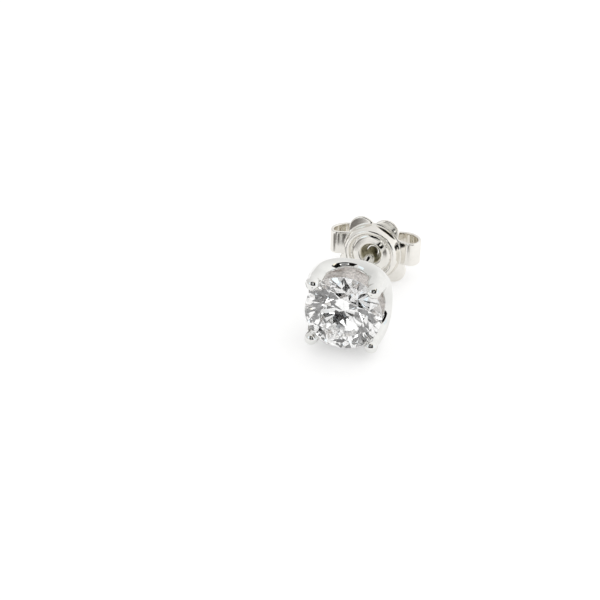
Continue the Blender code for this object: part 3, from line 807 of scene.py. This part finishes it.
def fade(tree, value, start, end):
    """Nothing at the start and one at the end, with a soft change between them."""
    node = add_node(tree, "ShaderNodeMapRange", From_Min=start, From_Max=end)
    node.interpolation_type = "SMOOTHSTEP"
    tree.links.new(value, node.inputs["Value"])
    return node.outputs["Result"]


def spread(tree, value, low, high):
    """A texture's value spread between two numbers."""
    node = add_node(tree, "ShaderNodeMapRange", From_Min=NOISE_LOW, From_Max=NOISE_HIGH,
                    To_Min=low, To_Max=high)
    tree.links.new(value, node.inputs["Value"])
    return node.outputs["Result"]


def from_axis(tree, bench):
    """Distance from the bench's long axis, and depth along it."""
    sides = tree.nodes.new("ShaderNodeSeparateXYZ")
    tree.links.new(bench, sides.inputs["Vector"])
    flat = tree.nodes.new("ShaderNodeCombineXYZ")
    tree.links.new(sides.outputs["X"], flat.inputs["X"])
    tree.links.new(sides.outputs["Z"], flat.inputs["Z"])
    reach = tree.nodes.new("ShaderNodeVectorMath")
    reach.operation = "LENGTH"
    tree.links.new(flat.outputs["Vector"], reach.inputs["Vector"])
    return reach.outputs["Value"], sides.outputs["Y"]


def mixed(tree, share, first, second):
    """Two colours mixed by a share; each is a plain colour or the output of a node."""
    node = tree.nodes.new("ShaderNodeMix")
    node.data_type = "RGBA"
    tree.links.new(share, node.inputs["Factor"])
    colours = [socket for socket in node.inputs if socket.type == "RGBA"]
    for socket, colour in zip(colours, (first, second)):
        if isinstance(colour, tuple):
            socket.default_value = (*colour, 1)
        else:
            tree.links.new(colour, socket)
    return [socket for socket in node.outputs if socket.type == "RGBA"][0]


def noise(tree, bench, scale, detail):
    """A cloudy pattern with so many patches to the millimetre."""
    node = add_node(tree, "ShaderNodeTexNoise", Scale=scale, Detail=detail)
    tree.links.new(bench, node.inputs["Vector"])
    return node.outputs["Fac"]


print("one bench unit is", MILLIMETRE, "of the finished model")

# %% [markdown]
# Both metals are built by one helper. A slow noise shifts the colour a little, a finer one the gloss,
# and the finest lifts a very low bump, the ripple that a polishing mop leaves. A share of zero to one
# then says where the metal is left dull, and blends in that place's colour and roughness: the inside
# of the cup, whose cast finish has its own mottled tone, and the funnel of the ear nut, whose dull
# finish is also painted dark olive as shade and dark reflection for the deep hole. The nut is only
# tumbled after it is stamped, so it is a little duller and yellower than the head.

# %% White gold
HEAD_TINTS = ((0.755, 0.755, 0.738), (0.82, 0.82, 0.80))
NUT_TINTS = ((0.77, 0.75, 0.705), (0.86, 0.84, 0.80))
HEAD_GLOSS, NUT_GLOSS = (0.02, 0.06), (0.05, 0.11)
HEAD_RIPPLE, NUT_RIPPLE = 0.01, 0.04
CUP_SKIN = {"colour": (0.97, 0.93, 0.90), "shade": (0.58, 0.55, 0.53), "roughness": 0.24}
CUP_WALL, CUP_FRONT, CUP_FLOOR = (2.80, 2.66), (0.0, 0.25), (3.20, 3.10)
# The funnel's dark olive colours are painted shade and dark reflection for the deep hole; its roughness is
# its dull finish.
FUNNEL_SKIN_AND_SHADE = {"colour": (0.74, 0.71, 0.60), "shade": (0.44, 0.41, 0.31), "roughness": 0.28}
FUNNEL_EDGE, FUNNEL_END = (0.98, 0.84), (1.10, 1.00)
TINT_SCALE, TINT_DETAIL = 0.9, 3
GLOSS_SCALE, GLOSS_DETAIL = 2.6, 4
GRAIN_SCALE, GRAIN_DETAIL = 5, 5
SKIN_BUMP = 0.5
BUMP_HEIGHT = 0.00002


def cup_inside(tree, bench):
    """The wall of the cup behind the stone, inside the polished rim."""
    reach, depth = from_axis(tree, bench)
    along = combined(tree, "MULTIPLY", fade(tree, depth, *CUP_FRONT), fade(tree, depth, *CUP_FLOOR))
    return combined(tree, "MULTIPLY", fade(tree, reach, *CUP_WALL), along)


def funnel_inside(tree, bench):
    """The funnel that guides the post into the ear nut: dull, and painted darker as shade."""
    reach, depth = from_axis(tree, bench)
    return combined(tree, "MULTIPLY", fade(tree, reach, *FUNNEL_EDGE), fade(tree, depth, *FUNNEL_END))


def white_gold(name, matrix, colours, gloss, ripple, dull_and_shaded_place, skin_and_shade):
    """A pale mirror of a metal, with one place on it left dull; the ear nut's funnel is also painted
    darker as shade.
    """
    material = bpy.data.materials.new(name)
    material.use_nodes = True
    tree = material.node_tree
    shader = tree.nodes["Principled BSDF"]
    shader.inputs["Metallic"].default_value = 1
    bench = bench_place(tree, matrix)
    share = dull_and_shaded_place(tree, bench)
    grain = noise(tree, bench, GRAIN_SCALE, GRAIN_DETAIL)

    tint = mixed(tree, spread(tree, noise(tree, bench, TINT_SCALE, TINT_DETAIL), 0, 1), *colours)
    # Where the share is one these colours replace the tint; in the funnel they are painted shade.
    skin_and_shade_tint = mixed(tree, spread(tree, grain, 0, 1), skin_and_shade["shade"], skin_and_shade["colour"])
    tree.links.new(mixed(tree, share, tint, skin_and_shade_tint), shader.inputs["Base Color"])

    polished = spread(tree, noise(tree, bench, GLOSS_SCALE, GLOSS_DETAIL), *gloss)
    dull = combined(tree, "MULTIPLY", share, skin_and_shade["roughness"])
    tree.links.new(combined(tree, "MAXIMUM", polished, dull), shader.inputs["Roughness"])

    bump = add_node(tree, "ShaderNodeBump", Distance=BUMP_HEIGHT)
    strength = combined(tree, "MULTIPLY", share, SKIN_BUMP)
    tree.links.new(combined(tree, "ADD", strength, ripple), bump.inputs["Strength"])
    tree.links.new(grain, bump.inputs["Height"])
    tree.links.new(bump.outputs["Normal"], shader.inputs["Normal"])
    return material


head_gold = white_gold("polished white gold", ON_STUD, HEAD_TINTS, HEAD_GLOSS, HEAD_RIPPLE,
                       dull_and_shaded_place=cup_inside, skin_and_shade=CUP_SKIN)
nut_gold = white_gold("stamped white gold", ON_NUT, NUT_TINTS, NUT_GLOSS, NUT_RIPPLE,
                      dull_and_shaded_place=funnel_inside, skin_and_shade=FUNNEL_SKIN_AND_SHADE)
print("metals", head_gold.name, "and", nut_gold.name)

# %% [markdown]
# Diamond is a clear glass that bends light far more than any other. Nearly all that enters the front is
# turned back by the facets behind, which is why the stone is bright although nothing is lit in it. Its
# facets have no roughness at all. Only the girdle is left as it was ground, so it is matt.

# %% Diamond
DIAMOND_INDEX = 2.417
GIRDLE_ROUGHNESS = 0.35
GIRDLE_EDGE = (STONE_RADIUS - 0.02, STONE_RADIUS - 0.01)
GIRDLE_END = (1.1 * HALF_GIRDLE, HALF_GIRDLE)
GROUND_SCALE, GROUND_DETAIL = 8, 3
LEAST_GROUND = 0.6
diamond = bpy.data.materials.new("clear diamond")
diamond.use_nodes = True
tree = diamond.node_tree
shader = tree.nodes["Principled BSDF"]
shader.inputs["Base Color"].default_value = (1, 1, 1, 1)
shader.inputs["Transmission Weight"].default_value = 1
shader.inputs["IOR"].default_value = DIAMOND_INDEX
bench = bench_place(tree, ON_STUD)
reach, depth = from_axis(tree, bench)
at_edge = fade(tree, reach, *GIRDLE_EDGE)
in_girdle = fade(tree, combined(tree, "POWER", depth, 2), *(end**2 for end in GIRDLE_END))
ground = combined(tree, "MULTIPLY", combined(tree, "MULTIPLY", at_edge, in_girdle), GIRDLE_ROUGHNESS)
patches = spread(tree, noise(tree, bench, GROUND_SCALE, GROUND_DETAIL), LEAST_GROUND, 1)
tree.links.new(combined(tree, "MULTIPLY", ground, patches), shader.inputs["Roughness"])

for piece, body, node, slot, material in (
    (stone, "stud", "stone", "diamond", diamond),
    (head, "stud", "setting", "white_gold", head_gold),
    (nut, "ear_nut", "ear_nut", "white_gold_nut", nut_gold),
):
    piece.data.materials.clear()
    piece.data.materials.append(material)
    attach(piece, body)
    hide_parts(node)
    print(piece.name, "rides on", body, "with", material.name)

# %% [markdown]
# ## The camera
# The picture looks down on the stud from a little to its right. The lens is long, so that the small
# thing fills its part of the frame without being stretched.

# %% Camera
CAMERA_AZIMUTH = radians(14.48)
CAMERA_HEIGHT = radians(31.47)
CAMERA_DISTANCE = 0.08135
SENSOR_WIDTH = 36
LENS_LENGTH = 65.1
NEAREST_SEEN = 0.001
LOOK_AT = Vector((-0.003576, -0.005438, 0.003430))
towards = Vector((sin(CAMERA_AZIMUTH) * cos(CAMERA_HEIGHT),
                  -cos(CAMERA_AZIMUTH) * cos(CAMERA_HEIGHT),
                  sin(CAMERA_HEIGHT)))
bpy.ops.object.camera_add(location=LOOK_AT + towards * CAMERA_DISTANCE,
                          rotation=(-towards).to_track_quat("-Z", "Y").to_euler())
camera = named("camera")
camera.data.sensor_width = SENSOR_WIDTH
camera.data.lens = LENS_LENGTH
camera.data.clip_start = NEAREST_SEEN
bpy.context.scene.camera = camera
print("camera at", [round(side, 4) for side in camera.location])

# %% [markdown]
# ## The white tent
# Jewellery is shot in a tent of white cloth on a white table that is lit from below as well, so the
# metal has only white to show and the shadows stay faint. Then it would have no shape. A black panel
# round the lens gives the dark marks on the rim and the beads, and the dark facets of the stone. The
# ring lamp in it shows in the middle of each mark.

# %% Table and tent
FLOOR_SIDE = 0.8
TABLE_PAINT = (0.74, 0.74, 0.74)
TABLE_GLOW = 0.50
TENT_CLOTH = (1.0, 0.998, 0.992)
TENT_LEFT, TENT_RIGHT = 0.78, 1.16
PAINT_ROUGHNESS = 0.7


def plain_material(name, colour, strength=0):
    """Plain matt paint, which also glows where a strength is given."""
    material = bpy.data.materials.new(name)
    material.use_nodes = True
    shader = material.node_tree.nodes["Principled BSDF"]
    shader.inputs["Base Color"].default_value = (*colour, 1)
    shader.inputs["Roughness"].default_value = PAINT_ROUGHNESS
    shader.inputs["Specular IOR Level"].default_value = 0
    shader.inputs["Emission Color"].default_value = (*colour, 1)
    shader.inputs["Emission Strength"].default_value = strength
    return material


bpy.ops.object.select_all(action="DESELECT")
bpy.ops.mesh.primitive_plane_add(size=FLOOR_SIDE)
floor = named("table_top")
floor.data.materials.append(plain_material("lit white table", TABLE_PAINT, TABLE_GLOW))

world = bpy.data.worlds.new("tent")
bpy.context.scene.world = world
world.use_nodes = True
cloth = world.node_tree
background = cloth.nodes["Background"]
background.inputs["Color"].default_value = (*TENT_CLOTH, 1)
around = cloth.nodes.new("ShaderNodeTexCoord")
sides = cloth.nodes.new("ShaderNodeSeparateXYZ")
cloth.links.new(around.outputs["Generated"], sides.inputs["Vector"])
brightness = add_node(cloth, "ShaderNodeMapRange", From_Min=-1, From_Max=1,
                      To_Min=TENT_LEFT, To_Max=TENT_RIGHT)
cloth.links.new(sides.outputs["X"], brightness.inputs["Value"])
cloth.links.new(brightness.outputs["Result"], background.inputs["Strength"])
print("tent from", TENT_LEFT, "on the left to", TENT_RIGHT, "on the right")

# %% [markdown]
# Cards are what a photographer props up just outside the picture. Metal and stone show them, but they
# are neither seen themselves nor throw a shadow. Three grey ones are painted shade: they stand in for
# the shaded table and the shade beside the stud, so that parts of the ear nut reflect shade there, and
# they fade away towards their edges, as a card does that stands out of focus. A small black one lies
# before the stone, where its table would show only white. Bluish and yellowish cloths give the stone a
# trace of colour.

# %% Helpers for the cards
CARD_EDGE = 0.5
BLACK_PAINT = (0.004, 0.004, 0.004)
# This grey is painted shade, for the cards that stand in for the shade beside the stud.
SHADE_CARD_GREY = (0.24, 0.232, 0.222)
BLUE_CLOTH, BLUE_GLOW = (0.84, 0.94, 1.0), 0.18
WARM_CLOTH, WARM_GLOW = (1.0, 0.95, 0.80), 0.15


def hide_from_picture(piece):
    """Leave a prop in reflections only."""
    piece.visible_camera = piece.visible_diffuse = piece.visible_shadow = False


def card(name, place, size, square_to, material):
    """A flat card at a place, square to a direction."""
    bpy.ops.object.select_all(action="DESELECT")
    bpy.ops.mesh.primitive_plane_add(size=2 * CARD_EDGE, location=place,
                                     rotation=square_to.to_track_quat("Z", "Y").to_euler())
    piece = named(name)
    piece.scale = (*size, 1)
    piece.data.materials.append(material)
    hide_from_picture(piece)


def soft_edged(material):
    """Let a card fade away towards its edges."""
    tree = material.node_tree
    place = tree.nodes.new("ShaderNodeTexCoord")
    sides = tree.nodes.new("ShaderNodeSeparateXYZ")
    tree.links.new(place.outputs["Object"], sides.inputs["Vector"])
    across, along = (fade(tree, combined(tree, "POWER", sides.outputs[side], 2), CARD_EDGE**2, 0)
                     for side in ("X", "Y"))
    tree.links.new(combined(tree, "MULTIPLY", across, along),
                   tree.nodes["Principled BSDF"].inputs["Alpha"])


black = plain_material("black panel", BLACK_PAINT)
# The grey cards are painted shade, seen only in reflections.
grey = plain_material("grey card", SHADE_CARD_GREY)
soft_edged(grey)
blue = plain_material("bluish cloth", BLUE_CLOTH, BLUE_GLOW)
warm = plain_material("yellowish cloth", WARM_CLOTH, WARM_GLOW)
print("card materials", [material.name for material in (black, grey, blue, warm)])

# %% [markdown]
# The near cards are placed by their own middles. The black panel stands just behind the lens, and the
# cloths stand round the stud and face it. The ring lamp goes round the lens, before the panel.

# %% Cards and lamp round the stud
LYING, STANDING = Vector((0, 0, -1)), Vector((0, -1, 0))
PANEL_SETBACK = 0.004
LAMP_FRONT = 0.002
LAMP_RADIUS, LAMP_THICKNESS, LAMP_GLOW = 0.018, 0.0018, 1.5
LAMP_STEPS, LAMP_TUBE_STEPS = 48, 8
lens_place = camera.location + towards * PANEL_SETBACK
# The side, low and high grey cards are painted shade; the front black card is not.
for name, place, size, square_to, material in (
    ("side_shade_card", Vector((-0.0085, -0.0005, 0.0003)), (0.0070, 0.0080), LYING, grey),
    ("low_shade_card", Vector((-0.0020, -0.0031, 0.0003)), (0.0028, 0.0040), LYING, grey),
    ("high_shade_card", Vector((-0.0058, -0.0020, 0.0020)), (0.0052, 0.0050), STANDING, grey),
    ("front_black_card", Vector((-0.0022, -0.0150, 0.0003)), (0.0032, 0.0030), LYING, black),
):
    card(name, place, size, square_to, material)
for name, place, size, material in (
    ("lens_panel", lens_place, (0.128, 0.096), black),
    ("left_cloth", LOOK_AT + Vector((-0.050, -0.045, 0.030)), (0.024, 0.030), blue),
    ("right_cloth", LOOK_AT + Vector((0.065, -0.020, 0.015)), (0.016, 0.030), blue),
    ("high_cloth", LOOK_AT + Vector((0.045, -0.040, 0.075)), (0.016, 0.030), warm),
):
    card(name, place, size, place - LOOK_AT, material)
bpy.ops.object.select_all(action="DESELECT")
bpy.ops.mesh.primitive_torus_add(major_radius=LAMP_RADIUS, minor_radius=LAMP_THICKNESS,
                                 major_segments=LAMP_STEPS, minor_segments=LAMP_TUBE_STEPS,
                                 location=lens_place - towards * LAMP_FRONT,
                                 rotation=towards.to_track_quat("Z", "Y").to_euler())
ring_lamp = named("ring_lamp")
ring_lamp.data.materials.append(plain_material("ring lamp", (1, 1, 1), LAMP_GLOW))
hide_from_picture(ring_lamp)

# %% [markdown]
# Light is turned round inside a stone many times before it leaves. Each turn counts as one bounce, so
# the usual limit of four would leave much of the stone black. The plain Standard view keeps the white
# table white.

# %% Light paths
MOST_TURNS = 48
scene = bpy.context.scene
scene.view_settings.view_transform = "Standard"
scene.cycles.max_bounces = MOST_TURNS
scene.cycles.transmission_bounces = MOST_TURNS
scene.cycles.glossy_bounces = MOST_TURNS
print("bounces", scene.cycles.max_bounces)
